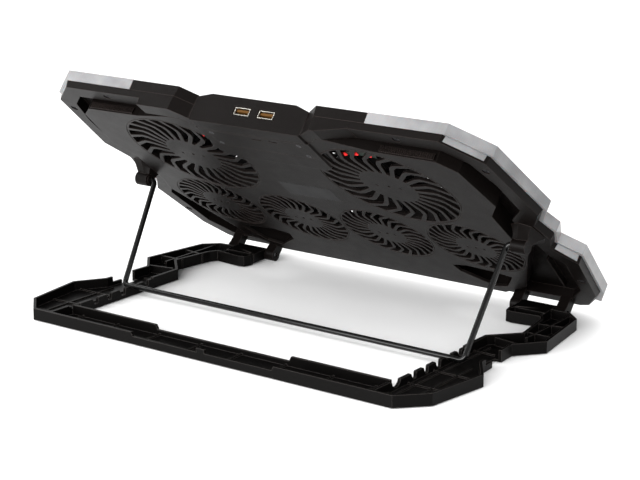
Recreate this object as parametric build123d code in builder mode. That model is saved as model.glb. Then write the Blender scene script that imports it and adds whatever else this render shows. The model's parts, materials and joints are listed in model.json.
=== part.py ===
from build123d import *
import os
from math import cos, hypot, pi, radians, sin

# A folding laptop cooling pad, standing open. A hollow deck with six fans leans back over a
# U-shaped floor frame. It turns on two hinge pins at the front, and a wire bail hung under the
# deck stands in the notches of two racks on the floor frame.
# X runs to the user's right, Y to the rear and Z up, with the floor at Z = 0.

os.makedirs("parts", exist_ok=True)

# ---------------------------------------------------------------- driving dimensions (mm, degrees)
TILT = 37.85                    # lean of the deck in its working notch
MID_Y = 133.7                   # middle of the whole pad, behind the line where Y is counted from
DECK_Z = 16.0                   # height of the deck's upper face at that line
WALL = 2.0                      # wall of the moulded shells
RIM_W, SPLIT_W = -13.5, -8.0    # lower rim of the deck, and the joint between its two shells
RECESS_W = -5.5                 # underside of the bottom shell's floor
PANEL_W, BLOCK_W = -18.9, -20.0     # lower faces of the fan panel and of its centre block
PLATE_W = 2.0                   # top of the raised laptop plateau
HINGE_Y, HINGE_Z = 28.0, 6.0    # hinge axis of the deck
PIN_R, RUN = 2.0, 0.05          # hinge pin radius, and radial running clearance
PIVOT_V, PIVOT_W = 137.0, -24.5     # bail pivot, in the deck's own axes
BAR_Y, BAR_Z = 168.5, 6.3       # the bail's cross bar, resting in its notch
WIRE_R, BEND_R = 2.1, 4.2
BASE_Z, BASE_FLOOR, BASE_TOP = 0.8, 1.6, 9.6    # floor frame: underside, floor, wall tops
TOOTH_Z = 8.6                   # tops of the rack teeth
RACK_IN, RACK_OUT = 142.8, 145.2
BIG_FANS = [(-88.1, 191.4), (88.1, 191.4)]
SMALL_FANS = [(-118.0, 102.7), (-38.8, 99.1), (38.8, 99.1), (118.0, 102.7)]
BIG_R, SMALL_R = 52.6, 36.6     # grille radii
HUB_SHARE = 0.41                # hub radius of a grille, as a share of its radius
SIDES = ((-1, "left"), (1, "right"))

# Half outlines of the deck on the right side, from the front to the rear.
TOP_EDGE = [(0, 6), (172, 6), (179.6, 8.3), (188.2, 25.5), (199.3, 98.3), (185, 113.4),
            (192.4, 133.3), (187.8, 147.4), (199.2, 167.6), (191.3, 244.2), (166, 268.5),
            (60, 268), (49, 257.5), (0, 257.5)]
RIM_EDGE = [(0, 7), (163, 7), (172, 11), (185.8, 32), (195.2, 92), (181.5, 113),
            (188.3, 130), (183.5, 150), (195.5, 171), (187.5, 243), (162.5, 267.5),
            (62, 267.5), (50, 257.5), (0, 257.5)]
RECESS_EDGE = [(0, 17), (113, 17), (160, 18), (176, 38.7), (183, 88), (174, 101), (168, 154),
               (183, 174), (181, 211), (173.5, 239.5), (159, 253.9), (60, 254.6), (54, 248.6),
               (0, 248.6)]
PANEL_EDGE = [(0, 19.2), (106, 19.2), (132.4, 38.7), (147, 72), (165, 112), (160.5, 131),
              (160.5, 168.5), (172, 187), (165, 235), (153, 246.5), (104, 247.5), (70, 254.2),
              (60, 254.2), (54, 248.2), (49.3, 248.2), (49.3, 245.3), (0, 245.3)]
USB_HALF, USB_FRONT, USB_REAR = 49.0, 245.5, 257.5

# Half outline of the floor frame on the right side, round the outside and back along the inside.
BASE_EDGE = [(0, 264.5), (160.2, 264.5), (179, 245), (186.5, 193.5), (172, 171.5), (169.2, 126),
             (186, 106), (177.5, 46), (166, 35), (151.2, 34.2), (124, 43), (122.2, 50),
             (124, 57), (129, 58.5), (152.5, 56), (156, 62), (161.5, 98), (142.8, 118.5),
             (142.8, 238.6), (0, 238.6)]

# ---------------------------------------------------------------- planes
floor = Plane(origin=(0, -MID_Y, 0))
deck = Plane(origin=(0, -MID_Y, DECK_Z), z_dir=(0, -sin(radians(TILT)), cos(radians(TILT))),
             x_dir=(1, 0, 0))


def floor_section(x):
    """An upright plane across X, drawn in (y, z)."""
    return Plane(origin=(x, -MID_Y, 0), x_dir=(0, 1, 0), z_dir=(1, 0, 0))


def deck_section(u):
    """A plane across the deck's width, drawn in the deck's (v, w)."""
    return Plane(origin=(u, -MID_Y, DECK_Z), x_dir=deck.y_dir, z_dir=(1, 0, 0))


def deck_end(v):
    """A plane along the deck's width at depth v, facing the rear, drawn in (-u, w)."""
    return Plane(origin=deck.from_local_coords((0, v, 0)), x_dir=(-1, 0, 0), z_dir=deck.y_dir)


# the bail pivot in (y, z), the hinge axis in the deck's (v, w), and the length of the bail's legs
pivot_y = PIVOT_V * deck.y_dir.Y + PIVOT_W * deck.z_dir.Y
pivot_z = DECK_Z + PIVOT_V * deck.y_dir.Z + PIVOT_W * deck.z_dir.Z
hinge_v = HINGE_Y * deck.y_dir.Y + (HINGE_Z - DECK_Z) * deck.y_dir.Z
hinge_w = HINGE_Y * deck.z_dir.Y + (HINGE_Z - DECK_Z) * deck.z_dir.Z
LEG_LENGTH = hypot(BAR_Y - pivot_y, BAR_Z - pivot_z)


# ---------------------------------------------------------------- outline helpers
def both_sides(half):
    """A closed outline from its right half, which starts and ends on the centre line."""
    return half + [(-x, y) for x, y in reversed(half) if x > 0]


def on_side(points, side):
    return [(side * x, y) for x, y in points]


def inset(line, distance):
    """An open line moved to its left by a distance, with mitred corners."""
    normals = []
    for (x0, y0), (x1, y1) in zip(line, line[1:]):
        length = hypot(x1 - x0, y1 - y0)
        normals.append(((y0 - y1) / length, (x1 - x0) / length))
    moved = []
    for i, (x, y) in enumerate(line):
        ax, ay = normals[max(i - 1, 0)]
        bx, by = normals[min(i, len(normals) - 1)]
        share = distance / (1 + ax * bx + ay * by)
        moved.append((x + share * (ax + bx), y + share * (ay + by)))
    return moved


def hull_edge(w):
    """Half outline of the deck's sloping outer wall at height w."""
    share = (w - RIM_W) / -RIM_W
    upper = inset(TOP_EDGE, 0.6)
    return [(a + share * (c - a), b + share * (d - b)) for (a, b), (c, d) in zip(RIM_EDGE, upper)]


def band(outer, inner, side=1):
    """A closed strip between two open lines of equally many points."""
    return on_side(outer + list(reversed(inner)), side)


def outline(points):
    return Polygon(*points, align=None)


def box_between(x0, x1, y0, y1):
    """A rectangle given by its edges, for use inside a sketch."""
    return Polygon((x0, y0), (x1, y0), (x1, y1), (x0, y1), align=None)


def finish(builder, name):
    builder.part.label = name
    export_step(builder.part, f"parts/{name}.step")


# ---------------------------------------------------------------- floor frame
RACK_NOTCHES = [                # front foot, rear foot, rear lip, bottom height
    (155.0, 156.9, 159.2, 4.3), (182.0, 185.4, 187.6, 3.3), (197.9, 200.7, 202.6, 3.6),
    (213.0, 216.1, 218.0, 4.0)]
STOW_Y, STOW_R, STOW_LIP = 236.6, 5.2, 6.4      # round notch that takes the bar when folded flat
RACK_START, RACK_END, TOOTH_END = 119.0, 262.6, 244.0
BARREL_R, BARREL_IN, BARREL_OUT = 4.2, 122.2, 150.8
FEET = [(172, 62), (157, 130), (176, 200), (150, 254), (0, 252)]
FOOT_R = 5.0
ARM_WALLS = [                   # tall ribs of the arms: both ends, in plan
    ((150, 55.6), (150, 38)), ((157, 70), (178, 66)), ((160, 92), (182, 92)),
    ((168, 40), (168, 104)), ((150, 116), (172, 120))]
LOW_RIBS = [((150.5, 124), (150.5, 262)), ((164, 172), (164, 258)), ((145, 137), (162, 137)),
            ((145, 190), (182, 190)), ((145, 222), (180, 222)), ((145, 247), (174, 247))]
LOW_RIB_Z = 3.6
REAR_RIBS = [18, 57, 97, 132]
RIB = 1.6
EAR_GAP = (142.5, 156.0)        # gap in the outer wall for the bail's pivot ear
SILL_Z, SILL_REAR = 5.2, 166.0      # lowered stretch of wall behind that gap
# lowered stretches of the rear channel's walls: front of the cut, depth, start and end across X
LOWERED = ((237, 3.6, 0, 60), (262, 3.0, 3.5, 63))

with BuildPart() as base_frame:
    with BuildSketch(floor.offset(BASE_Z)):
        outline(both_sides(BASE_EDGE))
    extrude(amount=BASE_TOP - BASE_Z)
    with BuildSketch(floor.offset(BASE_Z + BASE_FLOOR)):
        outline(both_sides(inset(BASE_EDGE, -WALL)))
    extrude(amount=BASE_TOP, mode=Mode.SUBTRACT)
    for side, _ in SIDES:
        # tall stiffening ribs in the arms, low ones where the wire legs are stowed
        for ribs, top in ((ARM_WALLS, BASE_TOP - 1), (LOW_RIBS, LOW_RIB_Z)):
            with BuildSketch(floor.offset(BASE_Z)):
                for (x0, y0), (x1, y1) in ribs:
                    length = hypot(x1 - x0, y1 - y0)
                    across = (RIB / 2 * (y0 - y1) / length, RIB / 2 * (x1 - x0) / length)
                    outline(on_side([(x0 + across[0], y0 + across[1]),
                                     (x1 + across[0], y1 + across[1]),
                                     (x1 - across[0], y1 - across[1]),
                                     (x0 - across[0], y0 - across[1])], side))
            extrude(amount=top - BASE_Z)
        with BuildSketch(floor.offset(BASE_Z)):
            for x in REAR_RIBS:
                box_between(side * x - RIB / 2, side * x + RIB / 2, 239.6, 263.5)
        extrude(amount=LOW_RIB_Z - BASE_Z)
        # toothed rack beside the arm's channel, running back across the rear channel
        rack_x = RACK_IN if side > 0 else -RACK_OUT
        with BuildSketch(floor_section(rack_x)):
            box_between(RACK_START, RACK_END, BASE_Z, BASE_TOP)
        extrude(amount=RACK_OUT - RACK_IN)
        with BuildSketch(floor_section(rack_x)):
            box_between(RACK_START + 30, TOOTH_END, TOOTH_Z, BASE_TOP + 1)
            for front, rear, lip, bottom in RACK_NOTCHES:
                outline([(front - 2.4, BASE_TOP + 1), (front - 1.5, TOOTH_Z),
                         (front - 0.8, TOOTH_Z - 0.7), (front - 0.4, bottom + 0.8), (front, bottom),
                         (rear, bottom), (rear + 0.5, bottom + 0.8), (lip + 0.2, TOOTH_Z - 0.7),
                         (lip + 0.9, TOOTH_Z), (lip + 1.8, BASE_TOP + 1)])
            with Locations((STOW_Y, BAR_Z + STOW_R - WIRE_R - 0.1)):
                Circle(STOW_R)
            outline([(STOW_Y - STOW_R, BAR_Z + WIRE_R), (STOW_Y + STOW_R, BAR_Z + WIRE_R),
                     (STOW_Y + STOW_LIP, BASE_TOP + 1), (STOW_Y - STOW_LIP + 1, BASE_TOP + 1)])
        extrude(amount=RACK_OUT - RACK_IN, mode=Mode.SUBTRACT)
        # the working notch: its rear wall follows the arc on which the bar swings out
        with BuildSketch(floor_section(rack_x)):
            with Locations((pivot_y, pivot_z)):
                Circle(LEG_LENGTH + WIRE_R + 0.15)
            with BuildSketch(floor_section(rack_x), mode=Mode.INTERSECT):
                box_between(BAR_Y - WIRE_R - 0.15, BAR_Y + 12, BAR_Z - WIRE_R - 0.1, BASE_TOP + 1)
        extrude(amount=RACK_OUT - RACK_IN, mode=Mode.SUBTRACT)
        # hinge barrel at the end of the arm, and its web
        barrel_x = BARREL_IN if side > 0 else -BARREL_OUT
        with BuildSketch(floor_section(barrel_x)):
            outline([(HINGE_Y, HINGE_Z + BARREL_R), (HINGE_Y, HINGE_Z - BARREL_R),
                     (46.0, HINGE_Z - BARREL_R), (46.0, BASE_TOP - 0.4)])
            with Locations((HINGE_Y, HINGE_Z)):
                Circle(BARREL_R)
        extrude(amount=BARREL_OUT - BARREL_IN)
        with BuildSketch(floor_section(barrel_x)):
            with Locations((HINGE_Y, HINGE_Z)):
                Circle(PIN_R)
        extrude(amount=BARREL_OUT - BARREL_IN, mode=Mode.SUBTRACT)
        # gap in the outer wall that takes the bail's pivot ear when the pad is folded flat
        for z, rear in ((0, EAR_GAP[1]), (SILL_Z, SILL_REAR)):
            with BuildSketch(floor.offset(z)):
                box_between(side * 164.5, side * 180, EAR_GAP[0], rear)
            extrude(amount=BASE_TOP + 1, mode=Mode.SUBTRACT)
    # lowered stretches of the rear channel's two walls, with sloping ends
    for y, drop, start, end in LOWERED:
        with BuildSketch(Plane(origin=(0, y - MID_Y, 0), x_dir=(-1, 0, 0), z_dir=(0, 1, 0))):
            for side, _ in SIDES:
                outline(on_side([(start, BASE_TOP + 1), (start, BASE_TOP - drop),
                                 (end - 0.8, BASE_TOP - drop), (end + 1.5, BASE_TOP + 1)], side))
        extrude(amount=4, mode=Mode.SUBTRACT)
    # shallow seats of the rubber feet
    with BuildSketch(floor.offset(BASE_Z)):
        for x, y in FEET:
            with Locations((x, y), (-x, y)):
                Circle(FOOT_R)
    extrude(amount=0.6, mode=Mode.SUBTRACT)
finish(base_frame, "base_frame")

with BuildPart() as base_feet:
    with BuildSketch(floor):
        for x, y in FEET:
            with Locations((x, y), (-x, y)):
                Circle(FOOT_R)
    extrude(amount=BASE_Z + 0.6)
    chamfer(base_feet.faces().sort_by(Axis.Z)[:9].edges(), 0.4)
finish(base_feet, "base_feet")

LUGS = ((113.0, 121.5), (151.5, 160.0))     # across X, inner and outer hinge lug of each side
for side, where in SIDES:
    with BuildPart() as hinge_pin:
        with BuildSketch(floor_section(side * (LUGS[0][0] + 1.5))):
            with Locations((HINGE_Y, HINGE_Z)):
                Circle(PIN_R)
        extrude(amount=side * (LUGS[1][1] - LUGS[0][0] - 3.0))
    finish(hinge_pin, f"hinge_pin_{where}")

# ---------------------------------------------------------------- wire bail
WIRE_END, TOP_BEND, LOW_BEND = 175.5, 161.0, 155.5
leg = ((BAR_Y - pivot_y) / LEG_LENGTH, (BAR_Z - pivot_z) / LEG_LENGTH)
bail_plane = Plane(origin=(0, pivot_y - MID_Y, pivot_z), x_dir=(1, 0, 0), z_dir=(0, -leg[1], leg[0]))

with BuildPart() as bail_wire:
    with BuildLine(bail_plane) as wire_line:
        FilletPolyline((-WIRE_END, 0), (-TOP_BEND, 0), (-LOW_BEND, LEG_LENGTH),
                       (LOW_BEND, LEG_LENGTH), (TOP_BEND, 0), (WIRE_END, 0), radius=BEND_R)
    with BuildSketch(Plane(origin=wire_line.line @ 0, z_dir=wire_line.line % 0)):
        Circle(WIRE_R)
    sweep()
finish(bail_wire, "bail_wire")

# ---------------------------------------------------------------- deck: bottom shell
RIM_SCREWS = [(127, 260.5), (182, 231), (184, 58), (55, 12)]
RAMP_START, RAMP_END = 91.0, 66.0           # across X, where the rear rim drops to the fan panel's level
SCREW_R, HEAD_R, HEAD_T = 1.3, 2.6, 1.8
COLUMN_R = 3.6
BUTTON_BOARD_W = -7.0
LENS_SPANS = [(9, 10), (5, 4)]      # corners of the outer wall that a side lens runs between
LENS_LOW, LENS_DEEP, LENS_PROUD = -12.2, 1.4, 0.25


def lens_band(w, corners, side):
    """Plan of a side lens at height w, a strip let into the sloping outer wall."""
    line = hull_edge(w)
    (x0, y0), (x1, y1) = line[corners[0]], line[corners[1]]
    margin = 2.5 / hypot(x1 - x0, y1 - y0)
    ends = [(x0 + t * (x1 - x0), y0 + t * (y1 - y0)) for t in (margin, 1 - margin)]
    inward = LENS_DEEP if corners[1] > corners[0] else -LENS_DEEP
    proud = -LENS_PROUD if corners[1] > corners[0] else LENS_PROUD
    return band(inset(ends, proud), inset(ends, inward), side)


with BuildPart() as bottom_shell:
    with BuildSketch(deck.offset(RIM_W)):
        outline(both_sides(hull_edge(RIM_W)))
    with BuildSketch(deck.offset(SPLIT_W)):
        outline(both_sides(hull_edge(SPLIT_W)))
    loft(ruled=True)
    # the rim is a channel, open upwards
    with BuildSketch(deck.offset(RIM_W + WALL)):
        outline(both_sides(inset(hull_edge(RIM_W + WALL), WALL)))
    with BuildSketch(deck.offset(SPLIT_W)):
        outline(both_sides(inset(hull_edge(SPLIT_W), WALL)))
    loft(ruled=True, mode=Mode.SUBTRACT)
    # inner wall of the rim and the recessed floor, open over the fan panel
    with BuildSketch(deck.offset(RIM_W)):
        outline(both_sides(inset(RECESS_EDGE, -WALL)))
    extrude(amount=RECESS_W + WALL - RIM_W)
    with BuildSketch(deck.offset(RIM_W)):
        outline(both_sides(RECESS_EDGE))
    extrude(amount=RECESS_W - RIM_W, mode=Mode.SUBTRACT)
    with BuildSketch(deck.offset(RECESS_W)):
        outline(both_sides(inset(PANEL_EDGE[:11], 6.0) + [(86, 236), (0, 236)]))
    extrude(amount=WALL, mode=Mode.SUBTRACT)
    for side, _ in SIDES:
        # the rear rim drops to the fan panel's level beside the socket housing, hollow inside
        with BuildSketch(deck.offset(PANEL_W)):
            outline(on_side([(RAMP_START, 254.6), (60, 254.6), (54, 248.6), (USB_HALF, 248.6),
                             (USB_HALF, 257.5), (50, 257.5), (62, 267.5), (RAMP_START, 267.5)], side))
        extrude(amount=RIM_W - PANEL_W)
        with BuildSketch(deck_end(240)):
            outline(on_side([(RAMP_START, RIM_W), (RAMP_END, PANEL_W), (RAMP_END, PANEL_W - 1),
                             (RAMP_START + 1, PANEL_W - 1), (RAMP_START + 1, RIM_W)], side))
        extrude(amount=30, mode=Mode.SUBTRACT)
        with BuildSketch(deck_end(256.6)):
            outline(on_side([(RAMP_START - 2, RIM_W + WALL), (RAMP_END, PANEL_W + WALL),
                             (63, PANEL_W + WALL), (63, RIM_W + WALL)], side))
        extrude(amount=8.9, mode=Mode.SUBTRACT)
        # fine groove across the rim where the ramp starts, and a rib in the front of the recess
        with BuildSketch(deck.offset(RIM_W)):
            box_between(side * (RAMP_START + 0.5), side * (RAMP_START + 1.0), 254.6, 270)
        extrude(amount=0.5, mode=Mode.SUBTRACT)
        with BuildSketch(deck.offset(RECESS_W)):
            outline(on_side([(164.6, 81), (163.4, 81), (157.9, 31), (159.1, 31)], side))
        extrude(amount=-4.5)
    # screw columns in the rim
    with BuildSketch(deck.offset(RIM_W)):
        for x, y in RIM_SCREWS:
            with Locations((x, y), (-x, y)):
                Circle(COLUMN_R)
    extrude(amount=SPLIT_W - RIM_W)
    with BuildSketch(deck.offset(RIM_W)):
        for x, y in RIM_SCREWS:
            with Locations((x, y), (-x, y)):
                Circle(SCREW_R + 0.3)
    extrude(amount=SPLIT_W - RIM_W, mode=Mode.SUBTRACT)
    with BuildSketch(deck.offset(RIM_W)):
        for x, y in RIM_SCREWS:
            with Locations((x, y), (-x, y)):
                Circle(HEAD_R + 0.3)
    extrude(amount=HEAD_T + 0.7, mode=Mode.SUBTRACT)
    # posts of the button board, in the front of the rim
    with BuildSketch(deck.offset(RIM_W + WALL)):
        for x in (-20, 20):
            box_between(x - 2, x + 2, 9.6, 14.4)
    extrude(amount=BUTTON_BOARD_W - RIM_W - WALL)
    # bay for the socket housing at the rear
    with BuildSketch(deck.offset(RIM_W)):
        box_between(-USB_HALF, USB_HALF, USB_FRONT, USB_REAR + 5)
    extrude(amount=15, mode=Mode.SUBTRACT)
    # two hinge lugs on each side
    for side, _ in SIDES:
        for low, high in LUGS:
            with BuildSketch(deck_section(side * low)):
                outline([(11.0, RIM_W + 1), (18.8, RIM_W + 1), (20.2, -22.5), (12.0, -27.0)])
                with Locations((hinge_v, hinge_w)):
                    Circle(5.0)
            extrude(amount=side * (high - low))
        with BuildSketch(floor_section(side * LUGS[0][0])):
            with Locations((HINGE_Y, HINGE_Z)):
                Circle(PIN_R + RUN)
        extrude(amount=side * (LUGS[1][1] - LUGS[0][0]), mode=Mode.SUBTRACT)
        # seats of the side lenses
        for corners in LENS_SPANS:
            for w in (LENS_LOW, SPLIT_W):
                with BuildSketch(deck.offset(w)):
                    outline(lens_band(w, corners, side))
            loft(ruled=True, mode=Mode.SUBTRACT)
finish(bottom_shell, "bottom_shell")

for side, where in SIDES:
    with BuildPart() as side_lens:
        for corners in LENS_SPANS:
            for w in (LENS_LOW, SPLIT_W):
                with BuildSketch(deck.offset(w)):
                    outline(lens_band(w, corners, side))
            loft(ruled=True)
    finish(side_lens, f"side_lens_{where}")

# ---------------------------------------------------------------- bail pivot ears
EAR_IN, EAR_OUT, EAR_R = 166.2, 177.5, 5.5
EAR_FOOT = [(EAR_IN - 2.4, 129), (172, 122), (180, 122.5), (184.5, 131), (181, 149), (172, 152),
            (EAR_IN - 2.4, 147)]
EAR_WAIST = [(EAR_IN - 0.6, 131.5), (171, 127.5), (178, 128), (181, 133), (179, 145.5), (171, 147),
             (EAR_IN - 0.6, 143.5)]
EAR_TIP = [(EAR_IN, 133), (170, 132), (EAR_OUT - 2, 132), (EAR_OUT, 134.5), (EAR_OUT, 140),
           (170, 141.8), (EAR_IN, 141)]
for side, where in SIDES:
    with BuildPart() as pivot_ear:
        # faceted dome screwed to the rim, tapering in two steps down to the boss
        for low, high, w_low, w_high in ((EAR_FOOT, EAR_WAIST, RIM_W, RIM_W - 4.0),
                                         (EAR_WAIST, EAR_TIP, RIM_W - 4.0, PIVOT_W + 2.0)):
            for points, w in ((low, w_low), (high, w_high)):
                with BuildSketch(deck.offset(w)):
                    outline(on_side(points, side))
            loft(ruled=True)
        with BuildSketch(deck_section(side * EAR_IN)):
            with Locations((PIVOT_V, PIVOT_W)):
                Circle(EAR_R)
        extrude(amount=side * (EAR_OUT - EAR_IN))
        # collar round the mouth of the bore
        with BuildSketch(deck_section(side * EAR_IN)):
            with Locations((PIVOT_V, PIVOT_W)):
                Circle(EAR_R - 1.6)
        extrude(amount=-side * 1.0)
        with BuildSketch(deck_section(side * (EAR_IN - 1.0))):
            with Locations((PIVOT_V, PIVOT_W)):
                Circle(WIRE_R + RUN)
        extrude(amount=side * (WIRE_END + 0.3 - EAR_IN + 1.0), mode=Mode.SUBTRACT)
    finish(pivot_ear, f"pivot_ear_{where}")

# ---------------------------------------------------------------- fan panel
RIBS, RIB_HALF = 24, 0.031      # ribs of a grille, and half a rib's width as a share of its radius
RIB_PATH = ((0, 4.0), (0.25, 1.4), (0.48, 0.0), (0.64, 1.6), (1.0, 12.0))   # way out, lean in degrees
HUB_HOLE_R = 1.2
HOLE_SHARE = 0.19               # place of the two outer hub holes, as a share of the grille's radius
COVER_SCREWS = [(-38.6, 225), (38.6, 225), (-38.6, 240), (38.6, 240)]
LEAF = [(77, 58), (79, 47), (90, 38), (101, 28.5), (114, 33), (127, 54), (115, 59), (90, 62)]


def polar(radius, degrees):
    return (radius * cos(radians(degrees)), radius * sin(radians(degrees)))


def grille_slot(radius, side):
    """Outline of one slot between two cranked ribs, about the centre of its grille."""
    hub = HUB_SHARE * radius + 0.8
    edges = []
    for foot, sign in ((0, 1), (360 / RIBS, -1)):
        edge = []
        for share, lean in RIB_PATH:
            r = hub + share * (radius - hub)
            half_rib = RIB_HALF * radius * (1 + 0.3 * share * share) / r * 180 / pi
            edge.append(polar(r, -side * (foot + lean + sign * half_rib)))
        edges.append(edge)
    middle = polar(radius, -side * (180 / RIBS + RIB_PATH[-1][1]))
    return edges[0] + [middle] + list(reversed(edges[1]))


def ring_sector(inner, outer, start, end):
    """A stretch of a flat ring, drawn about its centre."""
    middle = (start + end) / 2
    with BuildSketch() as sector:
        with BuildLine():
            ThreePointArc(polar(inner, start), polar(inner, middle), polar(inner, end))
            Line(polar(inner, end), polar(outer, end))
            ThreePointArc(polar(outer, end), polar(outer, middle), polar(outer, start))
            Line(polar(outer, start), polar(inner, start))
        make_face()
    return sector.sketch


FANS = [(BIG_R, p) for p in BIG_FANS] + [(SMALL_R, p) for p in SMALL_FANS]

with BuildPart() as fan_panel:
    with BuildSketch(deck.offset(PANEL_W)):
        outline(both_sides(PANEL_EDGE))
    extrude(amount=RECESS_W - PANEL_W)
    with BuildSketch(deck.offset(PANEL_W + WALL)):
        outline(both_sides(inset(PANEL_EDGE, WALL)))
    extrude(amount=30, mode=Mode.SUBTRACT)
    # centre block, a little proud of the panel
    with BuildSketch(deck.offset(BLOCK_W)):
        outline(both_sides([(0, 205), (44, 205), (49.3, 211), (49.3, 245.3), (0, 245.3)]))
    with BuildSketch(deck.offset(PANEL_W)):
        outline(both_sides([(0, 203.6), (44.6, 203.6), (50.6, 210.4), (50.6, 245.3), (0, 245.3)]))
    loft(ruled=True)
    # seat of the service cover and window behind it
    with BuildSketch(deck.offset(BLOCK_W)):
        box_between(-42, 42, 222, 243)
    extrude(amount=1.2, mode=Mode.SUBTRACT)
    with BuildSketch(deck.offset(BLOCK_W)):
        box_between(-36, 36, 226, 239)
    extrude(amount=6, mode=Mode.SUBTRACT)
    for radius, (x, y) in FANS:
        # duct ring, slots, and a thin ring groove round the grille
        with BuildSketch(deck.offset(PANEL_W + WALL)):
            with Locations((x, y)):
                Circle(radius + 2.0)
                Circle(radius + 0.6, mode=Mode.SUBTRACT)
        extrude(amount=9.5)
        with BuildSketch(deck.offset(PANEL_W)):
            with Locations((x, y)):
                with PolarLocations(0, RIBS):
                    outline(grille_slot(radius, 1 if x > 0 else -1))
        extrude(amount=WALL, mode=Mode.SUBTRACT)
        with BuildSketch(deck.offset(PANEL_W)):
            with Locations((x, y)):
                Circle(radius + 1.7)
                Circle(radius + 1.0, mode=Mode.SUBTRACT)
        extrude(amount=0.5, mode=Mode.SUBTRACT)
        with BuildSketch(deck.offset(PANEL_W)):
            with Locations((x - HOLE_SHARE * radius, y), (x, y), (x + HOLE_SHARE * radius, y)):
                Circle(HUB_HOLE_R)
        extrude(amount=WALL, mode=Mode.SUBTRACT)
    with BuildSketch(deck.offset(BLOCK_W)):
        with Locations(*COVER_SCREWS):
            Circle(1.1)
    extrude(amount=2.8, mode=Mode.SUBTRACT)
    # leaf-shaped openings near the front corners, and the seat of the rating plate
    with BuildSketch(deck.offset(PANEL_W)):
        outline(LEAF)
        outline(on_side(LEAF, -1))
    extrude(amount=WALL, mode=Mode.SUBTRACT)
    with BuildSketch(deck.offset(PANEL_W)):
        box_between(-24, 24, 146.5, 166.5)
    extrude(amount=0.3, mode=Mode.SUBTRACT)
finish(fan_panel, "fan_panel")

with BuildPart() as service_cover:
    with BuildSketch(deck.offset(BLOCK_W)):
        box_between(-41.9, 41.9, 222.1, 242.9)
    extrude(amount=1.2)
    with BuildSketch(deck.offset(BLOCK_W)):
        for x in (-20, -6):
            box_between(x, x + 8, 239.2, 240.6)
        for x, y in COVER_SCREWS:
            with Locations((x, y)):
                Circle(1.1)
    extrude(amount=1.2, mode=Mode.SUBTRACT)
    with BuildSketch(deck.offset(BLOCK_W)):
        for x, y in COVER_SCREWS:
            with Locations((x, y)):
                Circle(1.9)
    extrude(amount=0.6, mode=Mode.SUBTRACT)
finish(service_cover, "service_cover")


def screws(places, head_w, head_r, head_t, shank_r, tip_w):
    """A set of equal screws, driven up from below, with a cross in each head."""
    with BuildPart() as fasteners:
        with BuildSketch(deck.offset(head_w)):
            with Locations(*places):
                Circle(head_r)
        extrude(amount=head_t)
        with BuildSketch(deck.offset(head_w + head_t)):
            with Locations(*places):
                Circle(shank_r)
        extrude(amount=tip_w - head_w - head_t)
        with BuildSketch(deck.offset(head_w)):
            with Locations(*places):
                Rectangle(head_r * 1.2, head_r * 0.3)
                Rectangle(head_r * 0.3, head_r * 1.2)
        extrude(amount=head_t * 0.6, mode=Mode.SUBTRACT)
    return fasteners


SCREW_TIP_W = -3.0
rim_places = [(s * x, y) for x, y in RIM_SCREWS for s in (1, -1)]
finish(screws(rim_places, RIM_W + 0.7, HEAD_R, HEAD_T, SCREW_R, SCREW_TIP_W), "case_screws")
finish(screws(COVER_SCREWS, BLOCK_W, 1.9, 0.6, 1.1, BLOCK_W + 2.8), "cover_screws")

with BuildPart() as rating_plate:
    with BuildSketch(deck.offset(PANEL_W - 0.1)):
        box_between(-23.9, 23.9, 146.6, 166.4)
    extrude(amount=0.4)
finish(rating_plate, "rating_plate")


def rear_wall(x):
    """A point on the fan panel's rear wall, between its two last corners at the back."""
    (x0, y0), (x1, y1) = PANEL_EDGE[9], PANEL_EDGE[10]
    return (x, y0 + (y1 - y0) * (x - x0) / (x1 - x0))


BAR_START, BAR_END, BAR_SLITS = 109.0, 151.5, 24
for side, where in SIDES:
    with BuildPart() as vent_bar:
        with BuildSketch(deck.offset(PANEL_W + 0.7)):
            outline(on_side([rear_wall(BAR_START), rear_wall(BAR_END), (BAR_END, 248.2),
                             (BAR_START, 249.1)], side))
        extrude(amount=4.6)
        with BuildSketch(deck.offset(PANEL_W + 0.7)):
            for i in range(BAR_SLITS):
                x = side * (BAR_START + 1.6 + i * (BAR_END - BAR_START - 2) / BAR_SLITS)
                box_between(x - 0.35, x + 0.35, 248.0, 250)
        extrude(amount=4.6, mode=Mode.SUBTRACT)
    finish(vent_bar, f"vent_bar_{where}")

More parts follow.
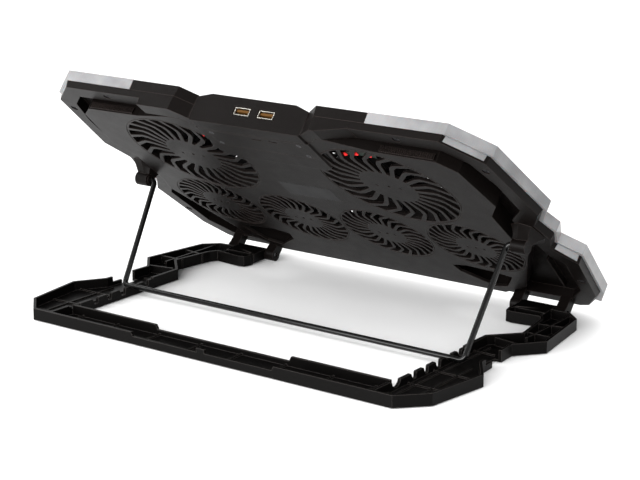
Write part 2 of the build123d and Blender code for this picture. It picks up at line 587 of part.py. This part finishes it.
# ---------------------------------------------------------------- fans
SHAFT_R, CAP_WALL = 1.5, 1.2
ROTOR_LOW, ROTOR_HIGH = -15.2, -5.9
BLADES, BLADE_T, BLADE_LEAN = 9, 1.4, 38.0
hub_places = []
for number, (radius, (x, y)) in enumerate(FANS, start=1):
    hub = HUB_SHARE * radius
    here = deck.offset(PANEL_W + WALL)
    hub_places += [(x - HOLE_SHARE * radius, y), (x + HOLE_SHARE * radius, y)]
    with BuildPart() as fan_motor:
        with BuildSketch(here):
            with Locations((x, y)):
                Circle(0.3 * radius)
        extrude(amount=1.0)
        with BuildSketch(here):
            with Locations((x, y)):
                Circle(0.13 * radius)
        extrude(amount=6.5)
        with BuildSketch(here):
            with Locations((x, y)):
                Circle(SHAFT_R + RUN)
        extrude(amount=7.0, mode=Mode.SUBTRACT)
        with BuildSketch(here):
            with Locations(*hub_places[-2:]):
                Circle(HUB_HOLE_R)
        extrude(amount=1.0, mode=Mode.SUBTRACT)
        # wire slots between the coils
        with BuildSketch(here.offset(1.0)):
            with Locations((x, y)):
                with PolarLocations(0.13 * radius, 4):
                    Rectangle(0.08 * radius, 1.2)
        extrude(amount=6.0, mode=Mode.SUBTRACT)
    finish(fan_motor, f"fan_motor_{number}")
    inner, tip = hub - 0.4, radius - 1.2
    with BuildSketch() as blade:
        with BuildLine():
            root = [polar(inner + t * (tip - inner), -BLADE_LEAN * t) for t in (0, 0.5, 1)]
            back = [polar(inner + t * (tip - inner), -BLADE_LEAN * t + BLADE_T / (
                inner + t * (tip - inner)) * 180 / pi) for t in (1, 0.5, 0)]
            ThreePointArc(*root)
            Line(root[-1], back[0])
            ThreePointArc(*back)
            Line(back[-1], root[0])
        make_face()
    with BuildPart() as fan_rotor:
        with BuildSketch(deck.offset(ROTOR_LOW)):
            with Locations((x, y)):
                Circle(hub)
        extrude(amount=ROTOR_HIGH - ROTOR_LOW)
        with BuildSketch(deck.offset(ROTOR_LOW)):
            with Locations((x, y)):
                Circle(hub - CAP_WALL)
        extrude(amount=ROTOR_HIGH - ROTOR_LOW - CAP_WALL, mode=Mode.SUBTRACT)
        with BuildSketch(deck.offset(ROTOR_LOW)):
            with Locations((x, y)):
                Circle(SHAFT_R)
        extrude(amount=ROTOR_HIGH - ROTOR_LOW - 0.5)
        with BuildSketch(deck.offset(ROTOR_LOW + 0.4)):
            with Locations((x, y)):
                with PolarLocations(0, BLADES):
                    add(blade.sketch)
        extrude(amount=ROTOR_HIGH - ROTOR_LOW - 1.2)
    finish(fan_rotor, f"fan_rotor_{number}")
finish(screws(hub_places, PANEL_W + 0.4, HUB_HOLE_R, 0.4, HUB_HOLE_R, PANEL_W + WALL + 1.0), "motor_screws")

LED_RING = 43.0                           # radius of the lamp strips inside the big grilles
LED_ANGLES = (66.0, 131.0)                # first lamp of the left and of the right big fan
LED_STEP, LAMPS = 15.0, 3
LAMP_TALL = 0.8
with BuildPart() as fan_leds:
    for (x, y), first in zip(BIG_FANS, LED_ANGLES):
        with BuildSketch(deck.offset(PANEL_W + WALL)):
            with Locations((x, y)):
                with PolarLocations(LED_RING, LAMPS, start_angle=first, angular_range=LED_STEP * 2,
                                    endpoint=True):
                    Rectangle(2.8, 3.5)
        extrude(amount=LAMP_TALL)
finish(fan_leds, "fan_leds")

with BuildPart() as fan_led_strips:
    for (x, y), first in zip(BIG_FANS, LED_ANGLES):
        strip = ring_sector(LED_RING - 2.5, LED_RING + 2.5, first - 7, first + 2 * LED_STEP + 7)
        with BuildSketch(deck.offset(PANEL_W + WALL + LAMP_TALL)):
            with Locations((x, y)):
                add(strip)
        extrude(amount=0.6)
finish(fan_led_strips, "fan_led_strips")

# ---------------------------------------------------------------- socket housing and sockets
SOCKET_W = -8.0
SOCKETS = ((-15.0, "left"), (6.0, "right"))
with BuildPart() as usb_housing:
    with BuildSketch(deck_end(USB_FRONT)):
        outline([(47.5, BLOCK_W), (49, BLOCK_W + 1.8), (49, -1.2), (37, 2.5),
                 (-37, 2.5), (-49, -1.2), (-49, BLOCK_W + 1.8), (-47.5, BLOCK_W)])
    extrude(amount=USB_REAR - USB_FRONT)
    with BuildSketch(deck_end(USB_FRONT)):
        box_between(-46.8, 46.8, BLOCK_W + WALL, -2.5)
    extrude(amount=USB_REAR - USB_FRONT - WALL, mode=Mode.SUBTRACT)
    with BuildSketch(deck_end(USB_FRONT)):
        for u, _ in SOCKETS:
            with Locations((-u, SOCKET_W)):
                Rectangle(15.0, 7.4)
    extrude(amount=20, mode=Mode.SUBTRACT)
    with BuildSketch(deck_end(USB_FRONT)):
        box_between(-40, -37, BLOCK_W + WALL, SOCKET_W - 4.5)
        box_between(37, 40, BLOCK_W + WALL, SOCKET_W - 4.5)
    extrude(amount=USB_REAR - USB_FRONT - WALL)
finish(usb_housing, "usb_housing")

with BuildPart() as control_board:
    with BuildSketch(deck_end(USB_FRONT + 0.5)):
        box_between(-41, 41, SOCKET_W - 4.5, SOCKET_W - 2.9)
    extrude(amount=9.3)
    with BuildSketch(deck_end(USB_FRONT + 2)):
        box_between(26, 34, SOCKET_W - 2.9, SOCKET_W - 1.4)
        box_between(-34, -30, SOCKET_W - 2.9, SOCKET_W - 1.9)
    extrude(amount=5)
finish(control_board, "control_board")

for u, where in SOCKETS:
    with BuildPart() as usb_shell:
        with BuildSketch(deck_end(USB_FRONT + 1)):
            with Locations((-u, SOCKET_W)):
                Rectangle(13.1, 5.8)
                Rectangle(12.1, 4.8, mode=Mode.SUBTRACT)
        extrude(amount=10.8)
    finish(usb_shell, f"usb_shell_{where}")
    with BuildPart() as usb_tongue:
        with BuildSketch(deck_end(USB_FRONT + 1)):
            with Locations((-u, SOCKET_W)):
                Rectangle(12.1, 4.8)
        extrude(amount=1.6)
        with BuildSketch(deck_end(USB_FRONT + 1)):
            with Locations((-u, SOCKET_W + 0.9)):
                Rectangle(11.0, 1.8)
        extrude(amount=9.6)
    finish(usb_tongue, f"usb_tongue_{where}")

# ---------------------------------------------------------------- light guides and their boards
GUIDE_WIDE = 5.0
GUIDE_END, LED_START, LED_END = 103.0, 133.0, 160.0


def rear_point(x):
    """A point of the deck's rear edge, right of the socket bay."""
    (x0, y0), (x1, y1) = TOP_EDGE[10], TOP_EDGE[11]
    return (x, y0 + (y1 - y0) * (x - x0) / (x1 - x0))


GUIDE_LINE = TOP_EDGE[2:11] + [rear_point(GUIDE_END)]
LED_LINE = [rear_point(LED_END), rear_point(LED_START)]
for side, where in SIDES:
    with BuildPart() as light_guide:
        with BuildSketch(deck.offset(SPLIT_W)):
            outline(band(inset(GUIDE_LINE, 0.3), inset(GUIDE_LINE, GUIDE_WIDE), side))
        with BuildSketch(deck):
            outline(band(GUIDE_LINE, inset(GUIDE_LINE, GUIDE_WIDE), side))
        loft(ruled=True)
    finish(light_guide, f"light_guide_{where}")
    with BuildPart() as led_board:
        with BuildSketch(deck.offset(SPLIT_W + 0.6)):
            outline(band(inset(LED_LINE, 6.0), inset(LED_LINE, 7.0), side))
        extrude(amount=5.4)
        with BuildSketch(deck.offset(SPLIT_W + 2.2)):
            for i in range(4):
                x = side * (LED_START + 3 + 7 * i)
                box_between(x - 1.5, x + 1.5, 262.0, 263.2)
        extrude(amount=2.0)
    finish(led_board, f"led_board_{where}")

# ---------------------------------------------------------------- deck: top shell
TOP_T = 1.5
PLATEAU = [(0, 34.5), (150, 34.5), (165, 50), (176, 98), (168, 118), (168, 150), (180, 172),
           (172, 236), (152, 252), (0, 252)]
MESH = [(0, 50), (128, 50), (142, 64), (142, 224), (128, 238), (0, 238)]
MESH_T, MESH_LEDGE, HEX_PITCH, HEX_ACROSS = 1.4, 3.0, 12.5, 10.8
STOP_IN, STOP_OUT, STOP_V, STOP_W, STOP_LONG = 95.0, 135.0, 12.0, 0.3, 19.0
NUB_R = 0.9
BUTTON_V = 12.0
BUTTONS = ((-12.0, "speed_button"), (12.0, "light_button"))

with BuildPart() as top_shell:
    for w in (SPLIT_W, 0):
        with BuildSketch(deck.offset(w)):
            outline(both_sides(hull_edge(w)))
    loft(ruled=True)
    for w in (SPLIT_W, -TOP_T):
        with BuildSketch(deck.offset(w)):
            outline(both_sides(inset(hull_edge(w), WALL)))
    loft(ruled=True, mode=Mode.SUBTRACT)
    for side, _ in SIDES:
        # seat of the light guide, and the rib that carries its board
        with BuildSketch(deck.offset(SPLIT_W)):
            outline(band(inset(GUIDE_LINE, -2.0), inset(GUIDE_LINE, GUIDE_WIDE), side))
        extrude(amount=-SPLIT_W, mode=Mode.SUBTRACT)
        with BuildSketch(deck.offset(SPLIT_W)):
            outline(band(inset(GUIDE_LINE, -2.0), inset(GUIDE_LINE, GUIDE_WIDE + 3.0), side))
        extrude(amount=-SPLIT_W - TOP_T, mode=Mode.SUBTRACT)
        with BuildSketch(deck.offset(SPLIT_W)):
            outline(band(inset(LED_LINE, 7.0), inset(LED_LINE, 8.5), side))
        extrude(amount=-SPLIT_W - TOP_T)
    # raised plateau under the laptop
    for w in (0, PLATE_W):
        with BuildSketch(deck.offset(w)):
            outline(both_sides(inset(PLATEAU, w)))
    loft(ruled=True)
    # screw columns
    with BuildSketch(deck.offset(SPLIT_W)):
        with Locations(*rim_places):
            Circle(2 * SCREW_R)
    extrude(amount=-SPLIT_W - TOP_T)
    with BuildSketch(deck.offset(SPLIT_W)):
        with Locations(*rim_places):
            Circle(SCREW_R)
    extrude(amount=SCREW_TIP_W - SPLIT_W, mode=Mode.SUBTRACT)
    # seat and opening of the mesh plate
    with BuildSketch(deck.offset(PLATE_W - MESH_T)):
        outline(both_sides(MESH))
    extrude(amount=5, mode=Mode.SUBTRACT)
    with BuildSketch(deck.offset(-TOP_T)):
        outline(both_sides(inset(MESH, MESH_LEDGE)))
    extrude(amount=5, mode=Mode.SUBTRACT)
    # bay for the socket housing at the rear
    with BuildSketch(deck.offset(SPLIT_W)):
        box_between(-USB_HALF, USB_HALF, USB_FRONT, USB_REAR + 5)
    extrude(amount=15, mode=Mode.SUBTRACT)
    # beds of the two flip-up stops
    for side, _ in SIDES:
        with BuildSketch(deck.offset(-3.3)):
            box_between(side * (STOP_IN - 4), side * (STOP_OUT + 4), 9.0, 33.2)
        extrude(amount=3.3 + 1.6)
        with BuildSketch(deck.offset(-1.3)):
            box_between(side * (STOP_IN - 0.2), side * (STOP_OUT + 0.2), STOP_V - 1.7,
                        STOP_V + STOP_LONG + 0.4)
        extrude(amount=6, mode=Mode.SUBTRACT)
        with BuildSketch(deck_section(side * (STOP_IN - 2))):
            with Locations((STOP_V, STOP_W)):
                Circle(NUB_R + RUN)
        extrude(amount=side * (STOP_OUT - STOP_IN + 4), mode=Mode.SUBTRACT)
    # holes of the two buttons
    with BuildSketch(deck.offset(-TOP_T)):
        for u, _ in BUTTONS:
            with Locations((u, BUTTON_V)):
                SlotOverall(14.2, 5.2)
    extrude(amount=5, mode=Mode.SUBTRACT)
finish(top_shell, "top_shell")

with BuildPart() as mesh_plate:
    with BuildSketch(deck.offset(PLATE_W - MESH_T)):
        outline(both_sides(MESH))
        with Locations((0, 144)):
            with HexLocations(HEX_PITCH / 2, 22, 15, major_radius=False):
                RegularPolygon(HEX_ACROSS / 2, 6, major_radius=False, rotation=30,
                               mode=Mode.SUBTRACT)
    extrude(amount=MESH_T)
finish(mesh_plate, "mesh_plate")

with BuildPart() as top_pads:
    with BuildSketch(deck.offset(PLATE_W)):
        for side, _ in SIDES:
            box_between(side * 149, side * 157, 70, 220)
            box_between(side * 30, side * 110, 38.5, 44.5)
    extrude(amount=1.2)
finish(top_pads, "top_pads")

# ---------------------------------------------------------------- buttons and stops
BUTTON_TRAVEL = 1.2
with BuildPart() as button_board:
    with BuildSketch(deck.offset(BUTTON_BOARD_W)):
        box_between(-24, 24, 9.6, 14.4)
    extrude(amount=1.0)
    with BuildSketch(deck.offset(BUTTON_BOARD_W + 1.0)):
        for u, _ in BUTTONS:
            with Locations((u, BUTTON_V)):
                Rectangle(4.5, 4.5)
    extrude(amount=1.5)
finish(button_board, "button_board")

for u, name in BUTTONS:
    with BuildPart() as button:
        with BuildSketch(deck.offset(-3.1)):
            with Locations((u, BUTTON_V)):
                SlotOverall(16.0, 5.6)
        extrude(amount=3.1 - TOP_T - 0.05)
        with BuildSketch(deck.offset(-3.1)):
            with Locations((u, BUTTON_V)):
                SlotOverall(14.0, 5.0)
        extrude(amount=3.1 + 1.4)
        chamfer(button.faces().sort_by(Axis(deck.origin, deck.z_dir))[-1].edges(), 0.4)
    finish(button, name)

for side, where in SIDES:
    with BuildPart() as stop:
        with BuildSketch(deck_section(side * STOP_IN)):
            with Locations((STOP_V, STOP_W)):
                Circle(1.5)
            outline([(STOP_V, STOP_W - 1.3), (STOP_V + STOP_LONG - 1, STOP_W - 1.3),
                     (STOP_V + STOP_LONG, STOP_W - 0.3), (STOP_V + STOP_LONG, STOP_W + 0.5),
                     (STOP_V + STOP_LONG - 1, STOP_W + 1.3), (STOP_V, STOP_W + 1.3)])
        extrude(amount=side * (STOP_OUT - STOP_IN))
        with BuildSketch(deck_section(side * (STOP_IN - 1.8))):
            with Locations((STOP_V, STOP_W)):
                Circle(NUB_R)
        extrude(amount=side * (STOP_OUT - STOP_IN + 3.6))
        # finger scoop in the free edge
        with BuildSketch(deck.offset(STOP_W - 2)):
            with Locations((side * (STOP_IN + STOP_OUT) / 2, STOP_V + STOP_LONG + 4)):
                Circle(9.0)
        extrude(amount=4, mode=Mode.SUBTRACT)
    finish(stop, f"stop_{where}")
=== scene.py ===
"""Laptop cooling pad on a plain pale floor: materials, floor, camera and light."""
import json
import math

import bpy
from mathutils import Matrix, Vector

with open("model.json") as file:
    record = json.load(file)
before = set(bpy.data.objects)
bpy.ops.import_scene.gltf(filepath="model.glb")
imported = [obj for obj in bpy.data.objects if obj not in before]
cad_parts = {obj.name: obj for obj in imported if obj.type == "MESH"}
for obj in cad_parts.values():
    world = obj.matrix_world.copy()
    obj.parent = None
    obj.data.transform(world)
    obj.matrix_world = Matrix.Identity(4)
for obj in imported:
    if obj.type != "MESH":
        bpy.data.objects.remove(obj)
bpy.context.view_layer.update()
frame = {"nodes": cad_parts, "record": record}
NODES = frame["nodes"]

# ---------------------------------------------------------------- camera: degrees, metres, lens in mm
CAMERA_AZIMUTH = 215.761        # 0 looks along +Y
CAMERA_ELEVATION = 14.979
CAMERA_ROLL = 0.272
CAMERA_DISTANCE = 1.3587
CAMERA_LENS, SENSOR = 103.43, 36.0
CAMERA_REACH = 20
AIM = Vector((-0.0098, 0.0023, 0.0619))

# ---------------------------------------------------------------- light: metres and watts
# name, place, aimed at, width and height, power
AREA_LIGHTS = [
    ("softbox_over", (0.1, 0.2, 1.7), (0, 0, 0), (1.8, 1.8), 18),
    ("softbox_rear", (0.0, 2.0, 0.55), (0, 0, 0), (2.8, 1.0), 105),
    ("strip_left", (1.5, 0.7, 0.9), (0, 0, 0.08), (0.12, 1.4), 9),
    ("strip_right", (-1.7, 0.2, 0.8), (0, 0, 0.08), (0.12, 1.2), 7),
]
STUDIO_WHITE, STUDIO_STRENGTH = (1, 1, 1, 1), 1.0
FLOOR_SIZE = 30


def add_camera():
    azimuth = math.radians(CAMERA_AZIMUTH)
    elevation = math.radians(CAMERA_ELEVATION)
    roll = math.radians(CAMERA_ROLL)
    back = Vector((math.sin(azimuth) * math.cos(elevation),
                   -math.cos(azimuth) * math.cos(elevation), math.sin(elevation)))
    right = Vector((math.cos(azimuth), math.sin(azimuth), 0))
    up = back.cross(right)
    across = right * math.cos(roll) + up * math.sin(roll)
    upward = up * math.cos(roll) - right * math.sin(roll)
    turn = Matrix((across, upward, back)).transposed().to_4x4()
    camera = bpy.data.objects.new("camera", bpy.data.cameras.new("camera"))
    camera.matrix_world = Matrix.Translation(AIM + back * CAMERA_DISTANCE) @ turn
    camera.data.lens = CAMERA_LENS
    camera.data.sensor_width = SENSOR
    camera.data.clip_end = CAMERA_REACH
    bpy.context.scene.collection.objects.link(camera)
    bpy.context.scene.camera = camera


def add_area(name, place, aim, size, power):
    light = bpy.data.objects.new(name, bpy.data.lights.new(name, "AREA"))
    light.data.shape = "RECTANGLE"
    light.data.size, light.data.size_y = size
    light.data.energy = power
    light.location = place
    light.rotation_euler = (Vector(aim) - Vector(place)).to_track_quat("-Z", "Y").to_euler()
    bpy.context.scene.collection.objects.link(light)


def add_light():
    for light in AREA_LIGHTS:
        add_area(*light)
    world = bpy.data.worlds.new("studio")
    world.use_nodes = True
    background = world.node_tree.nodes["Background"]
    background.inputs["Color"].default_value = STUDIO_WHITE
    background.inputs["Strength"].default_value = STUDIO_STRENGTH
    bpy.context.scene.world = world
    bpy.context.scene.view_settings.view_transform = "Standard"


# ---------------------------------------------------------------- materials
# A larger texture scale is finer. Bump distances and edge radii are in metres.
MIX_FACTOR, MIX_FIRST, MIX_SECOND, MIX_RESULT = 0, 6, 7, 2      # colour sockets of a Mix node
NOISE_MIDDLE = (0.35, 0.65)         # where most of a noise factor lies
BEVEL_SAMPLES = 6
EDGE_TURN = (0.75, 0.98)            # cosine between rounded and flat normals, at an edge and off it


def scaled(colour, factor):
    return tuple(factor * c for c in colour)


class Surface:
    """A Principled material with short calls for the nodes that colour and shape it."""

    def __init__(self, name, **inputs):
        self.material = bpy.data.materials.new(name)
        self.material.use_nodes = True
        self.tree = self.material.node_tree
        self.shader = self.tree.nodes["Principled BSDF"]
        self.place = self.node("ShaderNodeTexCoord").outputs["Object"]
        for key, value in inputs.items():
            if isinstance(value, tuple):
                value = (*value, 1)
            self.shader.inputs[key.replace("_", " ")].default_value = value

    def node(self, kind, **values):
        made = self.tree.nodes.new(kind)
        for key, value in values.items():
            if key in made.inputs.keys():
                made.inputs[key].default_value = value
            else:
                setattr(made, key, value)
        return made

    def link(self, output, target):
        self.tree.links.new(output, target)

    def noise(self, scale, detail=3.0):
        made = self.node("ShaderNodeTexNoise", Scale=scale, Detail=detail)
        self.link(self.place, made.inputs["Vector"])
        return made.outputs["Fac"]

    def spread(self, value, low, high, between=NOISE_MIDDLE):
        """A factor's range between two values, mapped onto low..high."""
        start, end = between
        made = self.node("ShaderNodeMapRange", **{"From Min": start, "From Max": end,
                                                  "To Min": low, "To Max": high})
        self.link(value, made.inputs["Value"])
        return made.outputs["Result"]

    def mix(self, factor, first, second):
        made = self.node("ShaderNodeMix", data_type="RGBA")
        for socket, value in ((made.inputs[MIX_FIRST], first), (made.inputs[MIX_SECOND], second)):
            if isinstance(value, tuple):
                socket.default_value = (*value, 1)
            else:
                self.link(value, socket)
        self.link(factor, made.inputs[MIX_FACTOR])
        return made.outputs[MIX_RESULT]

    def clouds(self, scale, first, second):
        """Colour drifting between two tones."""
        return self.mix(self.spread(self.noise(scale), 0, 1), first, second)

    def rounded(self, radius):
        """A normal that softens every edge, for sheen along moulded corners."""
        return self.node("ShaderNodeBevel", samples=BEVEL_SAMPLES, Radius=radius).outputs["Normal"]

    def edges(self, radius):
        """A factor that is high along sharp edges and 0 on flat faces."""
        turned = self.node("ShaderNodeVectorMath", operation="DOT_PRODUCT")
        self.link(self.rounded(radius), turned.inputs[0])
        self.link(self.node("ShaderNodeNewGeometry").outputs["Normal"], turned.inputs[1])
        return self.spread(turned.outputs["Value"], 1.0, 0.0, EDGE_TURN)

    def bump(self, height, strength, distance, normal=None):
        made = self.node("ShaderNodeBump", Strength=strength, Distance=distance)
        self.link(height, made.inputs["Height"])
        if normal is not None:
            self.link(normal, made.inputs["Normal"])
        return made.outputs["Normal"]

    def set(self, name, output):
        self.link(output, self.shader.inputs[name])


def moulded(name, colour, roughness, grain=2600, edge=0.0005, painted_edge_highlight=6.0, sheen=0.045):
    """Textured moulded plastic: fine spark grain, faint clouds and a painted highlight that makes
    edges paler.
    """
    s = Surface(name, Specular_IOR_Level=sheen)
    tint = s.clouds(28, scaled(colour, 0.95), scaled(colour, 1.05))
    # Edges are mixed towards a paler colour: a painted highlight along rims and wall tops, standing
    # in for light caught by the edges.
    s.set("Base Color", s.mix(s.edges(edge), tint, scaled(colour, painted_edge_highlight)))
    s.set("Roughness", s.spread(s.noise(90), roughness - 0.015, roughness + 0.02))
    s.set("Normal", s.bump(s.noise(grain, detail=2.0), strength=0.25, distance=0.00012,
                           normal=s.rounded(edge)))
    return s.material


def frosted(name):
    """Milky light-guide plastic with fine slanting ribs behind its face."""
    s = Surface(name, Roughness=0.3, Specular_IOR_Level=0.35,
                Subsurface_Weight=0.15, Subsurface_Scale=0.003)
    ribs = s.node("ShaderNodeTexWave", Scale=260, Distortion=0.0, bands_direction="DIAGONAL")
    s.link(s.place, ribs.inputs["Vector"])
    s.set("Base Color", s.clouds(40, (0.10, 0.10, 0.103), (0.16, 0.16, 0.163)))
    s.set("Normal", s.bump(ribs.outputs["Fac"], strength=0.18, distance=0.0002,
                           normal=s.rounded(0.0005)))
    return s.material


def coated_wire(name):
    """Gloss black coating on bent steel wire, slightly wavy."""
    s = Surface(name, Base_Color=(0.002, 0.002, 0.002), Specular_IOR_Level=0.2)
    s.set("Roughness", s.spread(s.noise(160), 0.08, 0.14))
    s.set("Normal", s.bump(s.noise(500), strength=0.12, distance=0.0002))
    return s.material


def plated(name, colour, roughness, scratch=900):
    """Bare or plated metal, finely scratched."""
    s = Surface(name, Metallic=1.0)
    s.set("Roughness", s.spread(s.noise(scratch), roughness - 0.06, roughness + 0.12))
    s.set("Base Color", s.clouds(120, scaled(colour, 0.8), colour))
    s.set("Normal", s.bump(s.noise(scratch), strength=0.08, distance=0.0001,
                           normal=s.rounded(0.0002)))
    return s.material


def rubber(name):
    """Soft matt rubber with a coarse grain."""
    s = Surface(name)
    s.set("Roughness", s.spread(s.noise(300), 0.70, 0.88))
    s.set("Base Color", s.clouds(60, (0.016, 0.016, 0.017), (0.03, 0.03, 0.031)))
    s.set("Normal", s.bump(s.noise(3200), strength=0.4, distance=0.00015,
                           normal=s.rounded(0.0004)))
    return s.material


def circuit(name):
    """Very dark green solder mask with tracks under it."""
    s = Surface(name, Roughness=0.35, Specular_IOR_Level=0.1)
    tracks = s.node("ShaderNodeTexBrick", Scale=260)
    s.link(s.place, tracks.inputs["Vector"])
    s.set("Base Color", s.mix(tracks.outputs["Fac"], (0.002, 0.007, 0.004), (0.004, 0.013, 0.007)))
    s.set("Normal", s.bump(tracks.outputs["Fac"], strength=0.2, distance=0.0001))
    return s.material


def lamp(name, colour, strength):
    """A lit lamp, uneven in brightness."""
    s = Surface(name, Base_Color=colour, Roughness=0.3, Emission_Color=colour)
    s.set("Emission Strength", s.spread(s.noise(200), 0.7 * strength, strength))
    return s.material


# In the moulded calls, the edge colour factor sets the strength of the painted edge highlight.
SLOTS = {
    "shell": moulded("shell_plastic", (0.0026, 0.0020, 0.0018), 0.36, painted_edge_highlight=12.0),
    "base": moulded("base_plastic", (0.0018, 0.0016, 0.0015), 0.34, grain=2000, painted_edge_highlight=34.0),
    "wire": coated_wire("wire_coating"),
    "steel": plated("plain_steel", (0.52, 0.52, 0.53), 0.3),
    "screw": plated("black_zinc", (0.05, 0.05, 0.055), 0.38),
    "light_guide": frosted("frosted_guide"),
    "rubber": rubber("soft_rubber"),
    "socket_metal": plated("socket_plating", (0.42, 0.40, 0.36), 0.24),
    "tongue": moulded("amber_plastic", (0.06, 0.028, 0.007), 0.4, edge=0.0002, painted_edge_highlight=1.3),
    "board": circuit("solder_mask"),
    "rotor": moulded("fan_plastic", (0.0012, 0.0011, 0.0011), 0.34, grain=1500, sheen=0.03),
    "label": moulded("label_film", (0.009, 0.009, 0.0092), 0.36, grain=900, edge=0.0002),
    "mesh": moulded("painted_mesh", (0.003, 0.003, 0.0031), 0.42, grain=1800, edge=0.0003),
    "led": lamp("red_lamp", (0.6, 0.02, 0.02), 0.8),
}


def dress_nodes():
    for part in frame["record"]["subparts"]:
        node = NODES[part["node"]]
        node.data.materials.clear()
        node.data.materials.append(SLOTS[part["material_slot"]])


def add_floor():
    bpy.ops.mesh.primitive_plane_add(size=FLOOR_SIZE, location=(0, 0, 0))
    ground = bpy.context.object
    ground.name = "studio_floor"
    s = Surface("pale_floor", Roughness=0.55)
    s.set("Base Color", s.clouds(4, (0.89, 0.89, 0.89), (0.91, 0.91, 0.91)))
    ground.data.materials.append(s.material)


add_camera()
add_light()
dress_nodes()
add_floor()
